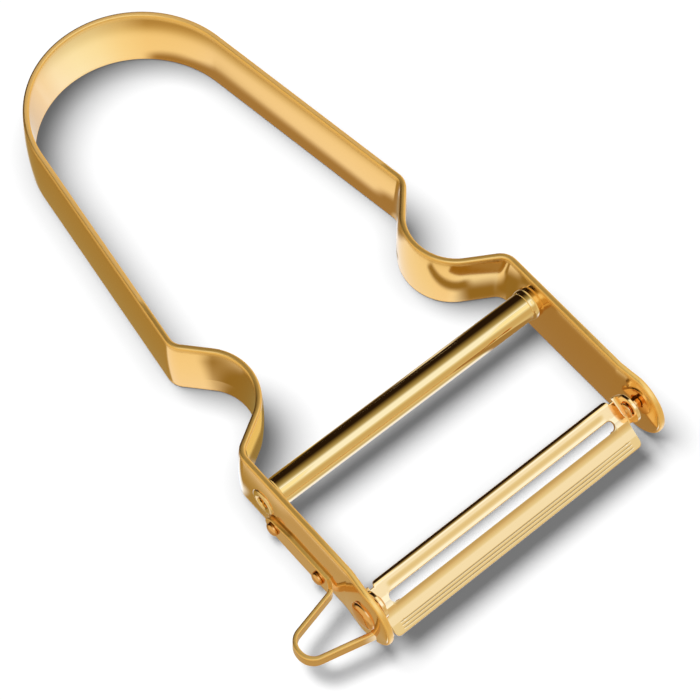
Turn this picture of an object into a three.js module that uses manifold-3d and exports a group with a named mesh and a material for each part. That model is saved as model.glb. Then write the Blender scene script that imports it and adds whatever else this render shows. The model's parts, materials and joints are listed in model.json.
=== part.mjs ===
// Swivel peeler: a bent strip handle with finger notches, a crossbar tube, a slotted blade that
// swings between the arm tips, and a ribbon loop on the left arm for cutting out potato eyes.
// Millimetres. +Z is up, +Y points to the round end of the handle and the blade is at -Y.
import * as THREE from 'three';
import { mergeVertices } from 'three/addons/utils/BufferGeometryUtils.js';
import Module from 'manifold-3d';

// Handle strip, sizes along its mid line, measured from the front corner of the finger notch
const stripThickness = 1.1;
const stripHeight = 12;
const stripEdgeRound = 0.3;
const bowRadius = 17.5;
const bowCentreY = 56.8;
const notchRearHalf = 22.6;
const notchRearY = 20.1;
const notchDeepHalf = 11.9;
const notchDeepY = 8.4;
const notchRadius = 8;
const notchCornerRadius = 2.6;
const armHalfSpacing = 26;

// Arm tips, set slightly outward
const tipFlare = 0.45;
const tipFlareRadius = 3;
const tipFlareStart = 9.9;
const tipFlareEnd = 5.9;

// Gap between pieces that sit on each other
const seatGap = 0.25;

// Crossbar tube
const crossbarSetback = 6.1;
const crossbarRadius = 2.35;
const crossbarBoreRadius = 1.4;
const crossbarSpigotRadius = 1.9;
const crossbarBeadHeight = 0.55;
const crossbarBeadWidth = 1.2;
const crossbarRimRadius = 2.45;
const crossbarRimThickness = 0.4;
const crossbarMouthFlare = 0.5;

// Blade, measured from the pivot line
const bladeTilt = THREE.MathUtils.degToRad(32);
const bladeThickness = 0.6;
const bladeDrop = 1.9;
const bladeBendRadius = 1;
const bladeEndInset = 0.5;
const railWidth = 2.15;
const railRearSetback = 2.05;
const hemEndInset = 1.2;
const hemAngle = THREE.MathUtils.degToRad(54);
const hemLength = 0.6;
const hemBendRadius = 0.35;
const slotWidth = 1.73;
const slotEndMargin = 2.1;
const faceWidth = 2.62;
const lipWidth = 1.83;
const lipDrop = 0.06;
const cuttingEdgeLift = 0.14;
const cuttingEdgeThickness = 0.1;
const cuttingBevelWidth = 0.8;
const edgeCurlReach = 0.72;
const grooveInset = 0.75;
const grooveRadius = 0.9;
const grooveDepth = 0.1;
const grooveEndMargin = 3.2;
const lipLineCount = 3;
const lipLinePitch = 0.52;
const lipLineInset = 0.63;
const lipLineRadius = 0.2;
const lipLineDepth = 0.06;
const lipLineEndMargin = 1.4;

// Blade ears and their rivets
const earGap = 1;
const earRadius = 2.4;
const earBendRadius = 0.9;
const earRootLength = 1.1;
const pivotSetback = 5.5;
const pivotClearance = 0.25;
const pivotShankRadius = 0.9;
const pivotHeadRadius = 2.7;
const pivotHeadRim = 0.5;
const pivotHeadHeight = 1;
const pivotTailRadius = 1.35;
const pivotTailHeight = 0.5;

// Eye remover: a riveted ribbon that leaves the left arm in a loop and hooks into the arm tip
const ribbonThickness = 0.7;
const plateHeight = 4.4;
const plateEndRadius = 1.9;
const plateTaperLength = 3.4;
const plateNoseLength = 2;
const loopBendRadius = 1.2;
const loopRootLength = 2.9;
const loopMouth = 9.2;
const loopReach = 9.7;
const loopTipRadius = 2.5;
const loopTipWidth = 4.2;
const loopTipOffset = 2.3;
const loopHeight = 2.4;
const loopLowerEdge = 0.8;
const loopEndSetback = 3.2;
const eyeRivetDrop = 3.6;
const eyeRivetPitch = 10.2;
const eyeRivetShankRadius = 0.7;
const eyeRivetHeadRadius = 1.15;
const eyeRivetHeadRim = 0.2;
const eyeRivetHeadHeight = 0.7;

// Fineness of the round surfaces
const chordError = 0.02;
const arcSegments = 16;
const domeSegments = 5;
const edgeSegments = 2;

// Room by which a cutter runs past what it cuts
const overrun = 2;

// Places worked out from the sizes above
const midHeight = stripHeight / 2;
const armInnerX = armHalfSpacing - stripThickness / 2;
const armOuterX = armHalfSpacing + stripThickness / 2;
const tipInnerX = armInnerX + tipFlare;
const tipOuterX = armOuterX + tipFlare;
const crossbarY = -crossbarSetback;
const plateEndReach = crossbarRimRadius + plateEndRadius + seatGap;
const eyeRivetRearY = crossbarY - Math.sqrt(plateEndReach ** 2 - eyeRivetDrop ** 2);
const eyeRivetFrontY = eyeRivetRearY - eyeRivetPitch;
const eyeRivetZ = midHeight - eyeRivetDrop;
const loopRootY = eyeRivetFrontY - loopRootLength;
const loopEndY = loopRootY - loopMouth;
const tipY = loopEndY - loopEndSetback;
const pivotY = tipY + pivotSetback;
const earX = tipInnerX - earGap - bladeThickness / 2;
const bladeHalfLength = earX - bladeEndInset;
const slotHalfLength = bladeHalfLength - slotEndMargin;
const slotRearY = railRearSetback - railWidth;
const cuttingEdgeY = slotRearY - slotWidth;
const lipBendY = cuttingEdgeY - faceWidth;
const bladeFrontY = lipBendY - lipWidth;
const edgeCurlTurn = Math.atan(cuttingEdgeLift / edgeCurlReach);
const edgeCurlRadius = edgeCurlReach / Math.tan(edgeCurlTurn / 2);
const plateX = armOuterX + seatGap + ribbonThickness / 2;
const plateOuterX = plateX + ribbonThickness / 2;
const loopTipX = plateX + loopReach;

const wasm = await Module();
wasm.setup();

// Closed geometry to a solid that can be joined and cut
function toSolid(geometry) {
  const bare = new THREE.BufferGeometry();
  bare.setAttribute('position', geometry.getAttribute('position'));
  bare.setIndex(geometry.getIndex());
  const welded = mergeVertices(bare);
  const corners = welded.getIndex().array;
  const triangles = [];
  for (let i = 0; i < corners.length; i += 3) {
    const [a, b, c] = corners.slice(i, i + 3);
    if (a !== b && b !== c && c !== a) triangles.push(a, b, c);
  }
  return new wasm.Manifold(new wasm.Mesh({
    numProp: 3,
    vertProperties: new Float32Array(welded.getAttribute('position').array),
    triVerts: new Uint32Array(triangles),
  }));
}

// Sides of a round body of this radius that keep to the chord error
function roundSides(radius) {
  return 2 * Math.ceil(Math.PI / 2 / Math.acos(1 - chordError / radius));
}

function toGeometry(solid) {
  const mesh = solid.getMesh();
  const geometry = new THREE.BufferGeometry();
  geometry.setAttribute('position', new THREE.BufferAttribute(mesh.vertProperties, 3));
  geometry.setIndex(new THREE.BufferAttribute(mesh.triVerts, 1));
  geometry.computeVertexNormals();
  return geometry;
}

// Points on one side of a bent strip, left of its mid line by offset.
// Each corner is [x, y, bend radius]; the first and last are the strip's ends.
function stripSide(corners, offset) {
  const at = (i) => new THREE.Vector2(corners[i][0], corners[i][1]);
  const points = [];
  corners.forEach(([, , radius], i) => {
    const into = i > 0 ? at(i).sub(at(i - 1)).normalize() : at(1).sub(at(0)).normalize();
    const away = i < corners.length - 1 ? at(i + 1).sub(at(i)).normalize() : into.clone();
    const turn = Math.atan2(into.cross(away), into.dot(away));
    const bend = Math.sign(turn) * radius;
    const left = new THREE.Vector2(-into.y, into.x);
    const start = at(i).addScaledVector(into, -radius * Math.tan(Math.abs(turn) / 2));
    const centre = start.addScaledVector(left, bend);
    const reach = radius + Math.abs(offset);
    const steps = Math.max(1, Math.ceil(Math.abs(turn) / (2 * Math.acos(1 - chordError / reach))));
    for (let k = radius > 0 ? 0 : steps; k <= steps; k += 1) {
      const normal = left.clone().rotateAround(new THREE.Vector2(), turn * k / steps);
      points.push(centre.clone().addScaledVector(normal, offset - bend));
    }
  });
  return points;
}

function stripShape(corners, thickness) {
  const left = stripSide(corners, thickness / 2);
  const right = stripSide(corners, -thickness / 2);
  return new THREE.Shape([...left, ...right.reverse()]);
}

// Shape in Y and Z, drawn out along X
function prismAlongX(shape, fromX, toX) {
  const geometry = new THREE.ExtrudeGeometry(shape, {
    depth: toX - fromX,
    bevelEnabled: false,
    curveSegments: arcSegments,
  });
  geometry.applyMatrix4(new THREE.Matrix4().makeBasis(
    new THREE.Vector3(0, 1, 0),
    new THREE.Vector3(0, 0, 1),
    new THREE.Vector3(1, 0, 0),
  ));
  return geometry.translate(fromX, 0, 0);
}

// Round bar along X
function barAlongX(radius, fromX, toX, y, z) {
  const geometry = new THREE.CylinderGeometry(radius, radius, toX - fromX, roundSides(radius));
  return geometry.rotateZ(Math.PI / 2).translate((fromX + toX) / 2, y, z);
}

// Body turned about the X axis from points [radius, x]
function turnedAlongX(profile) {
  const points = profile.map(([radius, x]) => new THREE.Vector2(radius, x));
  const widest = Math.max(...profile.map(([radius]) => radius));
  return new THREE.LatheGeometry(points, roundSides(widest)).rotateZ(-Math.PI / 2);
}

// Mid line of the handle from the right arm tip round the bow to the left arm tip
function handleCorners() {
  const toCentre = new THREE.Vector2(-notchRearHalf, bowCentreY - notchRearY);
  const heading = toCentre.angle() - Math.asin(bowRadius / toCentre.length());
  const apexY = notchRearY - notchRearHalf * Math.tan(heading);
  const half = [
    [armHalfSpacing + tipFlare, tipY, 0],
    [armHalfSpacing + tipFlare, tipY + tipFlareEnd, tipFlareRadius],
    [armHalfSpacing, tipY + tipFlareStart, tipFlareRadius],
    [armHalfSpacing, 0, notchCornerRadius],
    [notchDeepHalf, notchDeepY, notchRadius],
    [notchRearHalf, notchRearY, notchCornerRadius],
  ];
  const mirrored = half.map(([x, y, radius]) => [-x, y, radius]).reverse();
  return [...half, [0, apexY, bowRadius], ...mirrored];
}

// What lies outside the round nose of an arm tip, seen from the side
function noseCutShape() {
  const noseY = tipY + midHeight;
  const shape = new THREE.Shape();
  shape.moveTo(noseY, stripHeight);
  shape.absarc(noseY, midHeight, midHeight, Math.PI / 2, Math.PI * 1.5, false);
  shape.lineTo(noseY, -overrun);
  shape.lineTo(tipY - overrun, -overrun);
  shape.lineTo(tipY - overrun, stripHeight + overrun);
  shape.lineTo(noseY, stripHeight + overrun);
  return shape;
}

// Mid line of the eye remover from its rear end to the end in the arm tip
function ribbonCorners() {
  return [
    [-plateX, eyeRivetRearY + plateEndRadius, 0],
    [-plateX, loopRootY, loopBendRadius],
    [-loopTipX, loopRootY - loopTipOffset, loopTipRadius],
    [-loopTipX, loopRootY - loopTipOffset - loopTipWidth, loopTipRadius],
    [-tipInnerX, loopEndY, 0],
  ];
}

// Notch in the lower edge of the left arm tip that takes the end of the ribbon
function ribbonNotch() {
  const [tip, end] = ribbonCorners().slice(-2);
  const slope = (end[1] - tip[1]) / (end[0] - tip[0]);
  const run = Math.abs(slope) * stripThickness;
  const width = ribbonThickness * Math.hypot(1, slope) + run + 2 * seatGap;
  const top = loopLowerEdge + loopHeight + seatGap;
  const notch = new THREE.BoxGeometry(stripThickness + overrun, width, top + overrun);
  return notch.translate(-(tipInnerX + tipOuterX) / 2, loopEndY + run / 2, (top - overrun) / 2);
}

function handleBow() {
  const geometry = new THREE.ExtrudeGeometry(stripShape(handleCorners(), stripThickness), {
    depth: stripHeight - 2 * stripEdgeRound,
    bevelThickness: stripEdgeRound,
    bevelSize: stripEdgeRound,
    bevelOffset: -stripEdgeRound,
    bevelSegments: edgeSegments,
  });
  geometry.translate(0, 0, stripEdgeRound);
  const outside = tipOuterX + overrun;
  const eyeHole = eyeRivetShankRadius + seatGap;
  const cuts = [
    prismAlongX(noseCutShape(), -outside, outside),
    barAlongX(crossbarSpigotRadius + seatGap, -outside, outside, crossbarY, midHeight),
    barAlongX(pivotShankRadius + seatGap, -outside, outside, pivotY, midHeight),
    barAlongX(eyeHole, -outside, -armInnerX + overrun, eyeRivetRearY, eyeRivetZ),
    barAlongX(eyeHole, -outside, -armInnerX + overrun, eyeRivetFrontY, eyeRivetZ),
    ribbonNotch(),
  ];
  return toGeometry(cuts.reduce((strip, cut) => strip.subtract(toSolid(cut)), toSolid(geometry)));
}

// Tube with a bead inside each arm, a spigot through the arm and a rolled rim outside it
function crossbarTube() {
  const beadEnd = armInnerX - seatGap;
  const rimStart = armOuterX + seatGap;
  const rimEnd = rimStart + crossbarRimThickness;
  const right = [];
  for (let k = 0; k <= 2 * domeSegments; k += 1) {
    const angle = Math.PI * k / (2 * domeSegments);
    const along = crossbarBeadWidth * (1 + Math.cos(angle)) / 2;
    right.push([crossbarRadius + crossbarBeadHeight * Math.sin(angle), beadEnd - along]);
  }
  right.push([crossbarSpigotRadius, beadEnd], [crossbarSpigotRadius, rimStart]);
  for (let k = 0; k <= domeSegments; k += 1) {
    const angle = Math.PI / 2 * k / domeSegments;
    const fall = crossbarRimThickness * (1 - Math.cos(angle));
    right.push([crossbarRimRadius - fall, rimStart + crossbarRimThickness * Math.sin(angle)]);
  }
  right.push([crossbarBoreRadius, rimEnd - crossbarMouthFlare]);
  const left = right.map(([radius, x]) => [radius, -x]).reverse();
  return turnedAlongX([...left, ...right, left[0]]);
}

// Rivet with a domed tail, a shank and a domed head with a straight rim
function rivet(sizes) {
  const { tailEnd, tailRadius, tailHeight, shankRadius } = sizes;
  const { headStart, headRadius, headRim, headHeight } = sizes;
  const tail = [];
  const head = [];
  for (let k = 0; k <= domeSegments; k += 1) {
    const angle = Math.PI / 2 * k / domeSegments;
    tail.push([tailRadius * Math.sin(angle), tailEnd - tailHeight * Math.cos(angle)]);
    const rise = (headHeight - headRim) * Math.sin(angle);
    head.push([k < domeSegments ? headRadius * Math.cos(angle) : 0, headStart + headRim + rise]);
  }
  const shank = [[shankRadius, tailEnd], [shankRadius, headStart], [headRadius, headStart]];
  return turnedAlongX([...tail, ...shank, ...head]);
}

function pivotRivet() {
  return rivet({
    tailEnd: earX - bladeThickness / 2 - seatGap,
    tailRadius: pivotTailRadius,
    tailHeight: pivotTailHeight,
    shankRadius: pivotShankRadius,
    headStart: tipOuterX + seatGap,
    headRadius: pivotHeadRadius,
    headRim: pivotHeadRim,
    headHeight: pivotHeadHeight,
  });
}

function eyeRivet() {
  return rivet({
    tailEnd: armInnerX - seatGap,
    tailRadius: eyeRivetHeadRadius,
    tailHeight: eyeRivetHeadHeight,
    shankRadius: eyeRivetShankRadius,
    headStart: plateOuterX + seatGap,
    headRadius: eyeRivetHeadRadius,
    headRim: eyeRivetHeadRim,
    headHeight: eyeRivetHeadHeight,
  });
}

// Side view of the eye remover: the round-ended plate and the lower ribbon of the loop
function ribbonSideShape() {
  const plateLower = eyeRivetZ - plateEndRadius;
  const plateUpper = plateLower + plateHeight;
  const shoulderY = eyeRivetFrontY - plateNoseLength;
  const frontY = loopEndY - overrun;
  const shape = new THREE.Shape();
  shape.moveTo(frontY, loopLowerEdge);
  shape.lineTo(loopRootY, loopLowerEdge);
  shape.lineTo(shoulderY, plateLower);
  shape.lineTo(eyeRivetRearY, plateLower);
  shape.absarc(eyeRivetRearY, eyeRivetZ, plateEndRadius, -Math.PI / 2, Math.PI / 2, false);
  shape.lineTo(eyeRivetRearY - plateTaperLength, plateUpper);
  shape.lineTo(shoulderY, plateUpper);
  shape.lineTo(loopRootY, loopLowerEdge + loopHeight);
  shape.lineTo(frontY, loopLowerEdge + loopHeight);
  return shape;
}

function eyeRemover() {
  const ribbon = new THREE.ExtrudeGeometry(stripShape(ribbonCorners(), ribbonThickness), {
    depth: stripHeight + 2 * overrun,
    bevelEnabled: false,
  });
  ribbon.translate(0, 0, -overrun);
  const outsideX = -loopTipX - overrun;
  const side = prismAlongX(ribbonSideShape(), outsideX, 0);
  const hole = eyeRivetShankRadius + seatGap;
  const rearHole = barAlongX(hole, outsideX, 0, eyeRivetRearY, eyeRivetZ);
  const frontHole = barAlongX(hole, outsideX, 0, eyeRivetFrontY, eyeRivetZ);
  const solid = toSolid(ribbon).intersect(toSolid(side));
  return toGeometry(solid.subtract(toSolid(rearHole)).subtract(toSolid(frontHole)));
}

// Blade section from the turned-down rear hem over the curled cutting edge to the front lip, in Y and Z
function bladeSection() {
  const hemY = railRearSetback + hemLength * Math.cos(hemAngle);
  return stripShape([
    [hemY, -bladeDrop - hemLength * Math.sin(hemAngle), 0],
    [railRearSetback, -bladeDrop, hemBendRadius],
    [slotRearY, -bladeDrop, bladeBendRadius],
    [cuttingEdgeY, -bladeDrop + cuttingEdgeLift, 0],
    [cuttingEdgeY - edgeCurlReach, -bladeDrop, edgeCurlRadius],
    [lipBendY, -bladeDrop, bladeBendRadius],
    [bladeFrontY, -bladeDrop - lipDrop, 0],
  ], bladeThickness);
}

// Corner taken off the hem at one end of the blade, beside the ear
function hemEndCut(side) {
  const box = new THREE.BoxGeometry(2 * hemEndInset, 2 * overrun, 2 * overrun);
  return toSolid(box.translate(side * bladeHalfLength, railRearSetback + overrun, -bladeDrop));
}

// Ear bent up from one end of the blade, with a round top about the pivot line
function bladeEar(side) {
  const bend = stripShape([
    [side * (earX - earBendRadius - earRootLength), -bladeDrop, 0],
    [side * earX, -bladeDrop, earBendRadius],
    [side * earX, earRadius + overrun, 0],
  ], bladeThickness);
  const sheet = new THREE.ExtrudeGeometry(bend, { depth: 2 * earRadius, bevelEnabled: false });
  sheet.rotateX(Math.PI / 2).translate(0, earRadius, 0);
  const lobe = new THREE.Shape();
  lobe.moveTo(earRadius, 0);
  lobe.absarc(0, 0, earRadius, 0, Math.PI, false);
  lobe.lineTo(-earRadius, -bladeDrop - overrun);
  lobe.lineTo(earRadius, -bladeDrop - overrun);
  const outside = earX + overrun;
  return toSolid(sheet).intersect(toSolid(prismAlongX(lobe, -outside, outside)));
}

// Round-ended slot between the rail and the cutting edge
function bladeSlot() {
  const radius = slotWidth / 2;
  const straight = slotHalfLength - radius;
  const centreY = (slotRearY + cuttingEdgeY) / 2;
  const shape = new THREE.Shape();
  shape.absarc(straight, centreY, radius, -Math.PI / 2, Math.PI / 2, false);
  shape.absarc(-straight, centreY, radius, Math.PI / 2, Math.PI * 1.5, false);
  const geometry = new THREE.ExtrudeGeometry(shape, { depth: 2 * overrun, bevelEnabled: false });
  return geometry.translate(0, 0, -bladeDrop - overrun);
}

// Wedge that grinds the front edge of the slot from below to a cutting edge
function cuttingBevel() {
  const slope = (bladeThickness - cuttingEdgeThickness) / cuttingBevelWidth;
  const edgeZ = -bladeDrop + cuttingEdgeLift + bladeThickness / 2 - cuttingEdgeThickness;
  const rearY = cuttingEdgeY + slotWidth / 2;
  const shape = new THREE.Shape();
  shape.moveTo(rearY, edgeZ + slope * slotWidth / 2);
  shape.lineTo(cuttingEdgeY - overrun, edgeZ - overrun * slope);
  shape.lineTo(rearY, edgeZ - overrun * slope);
  const straight = slotHalfLength - slotWidth / 2;
  return prismAlongX(shape, -straight, straight);
}

// Round bar along X with ball ends that sinks into the blade by depth from a surface at y and z
function hollowBar(radius, depth, endMargin, y, z) {
  const length = 2 * (bladeHalfLength - endMargin - radius);
  const capsule = new THREE.CapsuleGeometry(radius, length, domeSegments, arcSegments);
  return toSolid(capsule.rotateZ(Math.PI / 2).translate(0, y, z + radius - depth));
}

// Groove pressed into the rail: hollow on top and a rib below
function pressGroove(sheet) {
  const y = slotRearY + grooveInset;
  const hollow = (z) => hollowBar(grooveRadius, grooveDepth, grooveEndMargin, y, z);
  const below = new THREE.BoxGeometry(2 * bladeHalfLength, 2 * grooveRadius, overrun);
  below.translate(0, y, -bladeDrop - overrun / 2);
  const rib = hollow(-bladeDrop - bladeThickness / 2).intersect(toSolid(below));
  return sheet.add(rib).subtract(hollow(-bladeDrop + bladeThickness / 2));
}

// Fine lines scribed along the lip
function scribeLip(sheet) {
  let scribed = sheet;
  for (let k = 0; k < lipLineCount; k += 1) {
    const inset = lipLineInset + k * lipLinePitch;
    const sunk = lipDrop * Math.max(0, 1 - inset / lipWidth);
    const z = -bladeDrop - sunk + bladeThickness / 2;
    const line = hollowBar(lipLineRadius, lipLineDepth, lipLineEndMargin, bladeFrontY + inset, z);
    scribed = scribed.subtract(line);
  }
  return scribed;
}

function blade() {
  let sheet = toSolid(prismAlongX(bladeSection(), -bladeHalfLength, bladeHalfLength));
  sheet = scribeLip(pressGroove(sheet)).subtract(hemEndCut(-1)).subtract(hemEndCut(1));
  sheet = sheet.add(bladeEar(-1)).add(bladeEar(1));
  sheet = sheet.subtract(toSolid(bladeSlot())).subtract(toSolid(cuttingBevel()));
  const outside = earX + overrun;
  const pivotHole = barAlongX(pivotShankRadius + pivotClearance, -outside, outside, 0, 0);
  return toGeometry(sheet.subtract(toSolid(pivotHole)));
}

const gold = { metalness: 1, roughness: 0.28, color: 0xc9973f };
const polishedGold = { metalness: 1, roughness: 0.1, color: 0xd8ab4e };
const paleGold = { metalness: 1, roughness: 0.25, color: 0xecd6a0 };
const copperGold = { metalness: 1, roughness: 0.3, color: 0xba7a3c };

const peeler = new THREE.Group();

function addPiece(name, geometry, finish, y = 0, z = 0) {
  const mesh = new THREE.Mesh(geometry, new THREE.MeshStandardMaterial(finish));
  mesh.name = name;
  mesh.position.set(0, y, z);
  peeler.add(mesh);
  return mesh;
}

addPiece('handle_bow', handleBow(), gold);
addPiece('crossbar_tube', crossbarTube(), polishedGold, crossbarY, midHeight);
addPiece('blade', blade(), paleGold, pivotY, midHeight).rotation.x = bladeTilt;
addPiece('pivot_rivet_right', pivotRivet(), copperGold, pivotY, midHeight);
addPiece('pivot_rivet_left', pivotRivet(), copperGold, pivotY, midHeight).rotation.z = Math.PI;
addPiece('eye_remover', eyeRemover(), gold);
addPiece('eye_remover_rivet_rear', eyeRivet(), copperGold, eyeRivetRearY, eyeRivetZ).rotation.z = Math.PI;
addPiece('eye_remover_rivet_front', eyeRivet(), copperGold, eyeRivetFrontY, eyeRivetZ).rotation.z = Math.PI;

// Origin under the middle of the peeler, on the surface that it lies on
const bounds = new THREE.Box3().setFromObject(peeler, true);
const middle = bounds.getCenter(new THREE.Vector3());
peeler.position.set(-middle.x, -middle.y, -bounds.min.z);

export default peeler;
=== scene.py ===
# Gold-coloured swivel peeler on a white table, each piece a smooth mesh round its part in the frame
import json
import math

import bmesh
import bpy
import numpy as np
from mathutils import Matrix, Vector


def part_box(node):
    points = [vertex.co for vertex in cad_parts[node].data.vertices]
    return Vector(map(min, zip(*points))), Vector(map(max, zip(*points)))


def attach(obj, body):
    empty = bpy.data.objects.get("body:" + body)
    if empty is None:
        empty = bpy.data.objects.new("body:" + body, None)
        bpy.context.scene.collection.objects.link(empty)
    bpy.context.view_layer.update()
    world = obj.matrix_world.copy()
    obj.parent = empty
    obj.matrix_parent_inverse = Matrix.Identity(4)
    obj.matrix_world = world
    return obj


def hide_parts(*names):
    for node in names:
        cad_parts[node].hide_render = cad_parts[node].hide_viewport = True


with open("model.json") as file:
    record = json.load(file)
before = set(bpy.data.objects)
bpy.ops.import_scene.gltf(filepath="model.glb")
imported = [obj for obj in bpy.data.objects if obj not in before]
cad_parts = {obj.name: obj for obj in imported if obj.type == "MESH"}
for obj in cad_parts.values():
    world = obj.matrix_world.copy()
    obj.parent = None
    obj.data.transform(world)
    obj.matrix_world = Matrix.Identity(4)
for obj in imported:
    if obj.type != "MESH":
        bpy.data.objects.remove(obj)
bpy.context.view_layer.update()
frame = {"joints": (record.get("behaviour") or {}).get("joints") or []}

MM = 0.001

# Handle strip, along its mid line from the front corner of the finger notch
STRIP_THICKNESS = 1.1 * MM
STRIP_CROWN = 0.17 * MM
STRIP_EDGE_FALL = 0.07 * MM
STRIP_EDGE_ROUND = 0.34 * MM
BOW_RADIUS = 17.5 * MM
BOW_CENTRE_Y = 56.8 * MM
NOTCH_REAR_HALF = 22.6 * MM
NOTCH_REAR_Y = 20.1 * MM
NOTCH_DEEP_HALF = 11.9 * MM
NOTCH_DEEP_Y = 8.4 * MM
NOTCH_RADIUS = 8 * MM
NOTCH_CORNER_RADIUS = 2.6 * MM
TIP_FLARE = 0.45 * MM
TIP_FLARE_RADIUS = 3 * MM
TIP_FLARE_START = 9.9 * MM
TIP_FLARE_END = 5.9 * MM
SEAT = 0.05 * MM

# Crossbar tube
CROSSBAR_RADIUS = 2.35 * MM
CROSSBAR_BORE_RADIUS = 1 * MM
CROSSBAR_SPIGOT_RADIUS = 1.9 * MM
CROSSBAR_BEAD_HEIGHT = 0.22 * MM
CROSSBAR_BEAD_WIDTH = 1.2 * MM
CROSSBAR_RIM_RADIUS = 2.3 * MM
CROSSBAR_RIM_THICKNESS = 0.4 * MM
CROSSBAR_RIM_FOOT = CROSSBAR_RIM_THICKNESS / 3
CROSSBAR_ROLL_START = 0.35
CROSSBAR_MOUTH_FLARE = 0.95 * MM
CROSSBAR_BODY_SHARE = 0.9

# Blade, from the pivot line
BLADE_TILT = math.radians(32)
BLADE_THICKNESS = 0.6 * MM
BLADE_DROP = 1.9 * MM
BLADE_BEND_RADIUS = 1 * MM
BLADE_END_INSET = 0.5 * MM
BLADE_EDGE_ROUND = 0.16 * MM
BLADE_CORNER_RADIUS = 0.7 * MM
RAIL_WIDTH = 2.15 * MM
RAIL_REAR_SETBACK = 2.05 * MM
RAIL_END_INSET = 1.2 * MM
HEM_ANGLE = math.radians(54)
HEM_LENGTH = 0.6 * MM
HEM_BEND_RADIUS = 0.35 * MM
SLOT_WIDTH = 1.73 * MM
SLOT_END_MARGIN = 2.1 * MM
FACE_WIDTH = 2.62 * MM
LIP_WIDTH = 1.83 * MM
LIP_DROP = 0.06 * MM
CUTTING_EDGE_LIFT = 0.14 * MM
CUTTING_EDGE_THICKNESS = 0.1 * MM
CUTTING_BEVEL_WIDTH = 0.8 * MM
EDGE_CURL_REACH = 0.72 * MM
GROOVE_INSET = 0.6 * MM
GROOVE_REAR_WIDTH = 1 * MM
GROOVE_FRONT_WIDTH = 0.75 * MM
GROOVE_DEPTH = 0.045 * MM
GROOVE_END_MARGIN = 2.6 * MM
GROOVE_FADE = 1.1 * MM
LIP_LINE_COUNT = 3
LIP_LINE_PITCH = 0.52 * MM
LIP_LINE_INSET = 0.63 * MM
LIP_LINE_WIDTH = 0.22 * MM
LIP_LINE_DEPTH = 0.05 * MM
LIP_LINE_END_MARGIN = 1.4 * MM
# Share of brown along the ground cutting edge, partly the ground metal's own tone and partly painted shade
GROUND_EDGE_SHADE_SHARE = 0.4

# Blade ears and their rivets
EAR_GAP = 1 * MM
EAR_RADIUS = 2.4 * MM
EAR_BEND_RADIUS = 0.9 * MM
EAR_EDGE_ROUND = 0.15 * MM
EAR_HOLE_RADIUS = 1.15 * MM
PIVOT_SHANK_RADIUS = 0.9 * MM
PIVOT_HEAD_RADIUS = 2.4 * MM
PIVOT_HEAD_RIM = 0.12 * MM
PIVOT_HEAD_HEIGHT = 1 * MM
PIVOT_TAIL_RADIUS = 1.35 * MM
PIVOT_TAIL_HEIGHT = 0.5 * MM
PIVOT_TAIL_GAP = 0.2 * MM
RIVET_HEAD_FOOT = 0.96

# Eye remover
RIBBON_THICKNESS = 0.7 * MM
RIBBON_EDGE_ROUND = 0.18 * MM
RIBBON_END_ROUND = 0.3 * MM
PLATE_GAP = 0.03 * MM
PLATE_HEIGHT = 4.4 * MM
PLATE_END_RADIUS = 1.9 * MM
PLATE_TAPER_LENGTH = 3.4 * MM
PLATE_NOSE_LENGTH = 2 * MM
LOOP_BEND_RADIUS = 1.2 * MM
LOOP_ROOT_LENGTH = 2.9 * MM
LOOP_MOUTH = 9.2 * MM
LOOP_TIP_RADIUS = 2.5 * MM
LOOP_TIP_WIDTH = 4.2 * MM
LOOP_TIP_OFFSET = 2.3 * MM
LOOP_HEIGHT = 2.4 * MM
LOOP_LOWER_EDGE = 0.8 * MM
LOOP_NOTCH_PLAY = 0.2 * MM
EYE_RIVET_SHANK_RADIUS = 0.7 * MM
EYE_RIVET_HEAD_RADIUS = 1.15 * MM
EYE_RIVET_HEAD_RIM = 0.15 * MM
EYE_RIVET_HEAD_HEIGHT = 0.7 * MM

# Fineness of the meshes
STATION_STEP = 1.5 * MM
STATION_TURN = math.radians(2.5)
STATION_DIGITS = 9
RIBBON_STEP = 0.6 * MM
RIBBON_LAST_STEP = 0.006 * MM
EAR_STEP = 0.3 * MM
EAR_FIRST_STEP = 0.02 * MM
BLADE_STATIONS = 25
BLADE_END_PLACES = np.arange(0, 5.001, 0.125) * MM
RAIL_ROWS = 64
FACE_AND_LIP_ROWS = 150
NOSE_STEPS = 18
FACE_ROWS = 14
EDGE_STEPS = 5
TURNED_SIDES = 96
DOME_STEPS = 12
BODY_RINGS = 20
HALVINGS = 50
MERGE_DISTANCE = 0.0005 * MM
SHARP_ANGLE = math.radians(38)
BLADE_SHARP_ANGLE = math.radians(30)

# Camera as fitted to the photo
CAMERA_PLACE = Vector((-121.32, -155.32, 347.31)) * MM
CAMERA_TARGET = Vector((5.957, -12.640, 0)) * MM
CAMERA_ROLL = math.radians(1.619)
CAMERA_LENS = 133.55
CAMERA_SENSOR = 36
CAMERA_NEAR = 10 * MM

# Places taken from the frame
bow_low, bow_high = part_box("handle_bow")
MID_X = (bow_low.x + bow_high.x) / 2
STRIP_HEIGHT = bow_high.z - bow_low.z
MID_Z = (bow_low.z + bow_high.z) / 2
TIP_OUTER_X = (bow_high.x - bow_low.x) / 2
TIP_INNER_X = TIP_OUTER_X - STRIP_THICKNESS
ARM_HALF = TIP_OUTER_X - TIP_FLARE - STRIP_THICKNESS / 2
ARM_INNER_X = ARM_HALF - STRIP_THICKNESS / 2
ARM_OUTER_X = ARM_HALF + STRIP_THICKNESS / 2
TIP_Y = bow_low.y
NOTCH_Y = bow_high.y - STRIP_THICKNESS / 2 - BOW_RADIUS - BOW_CENTRE_Y
PIVOT = Vector(frame["joints"][0]["pos_m"])
ribbon_low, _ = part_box("eye_remover")


def centre_of(node):
    low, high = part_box(node)
    return (low + high) / 2


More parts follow.
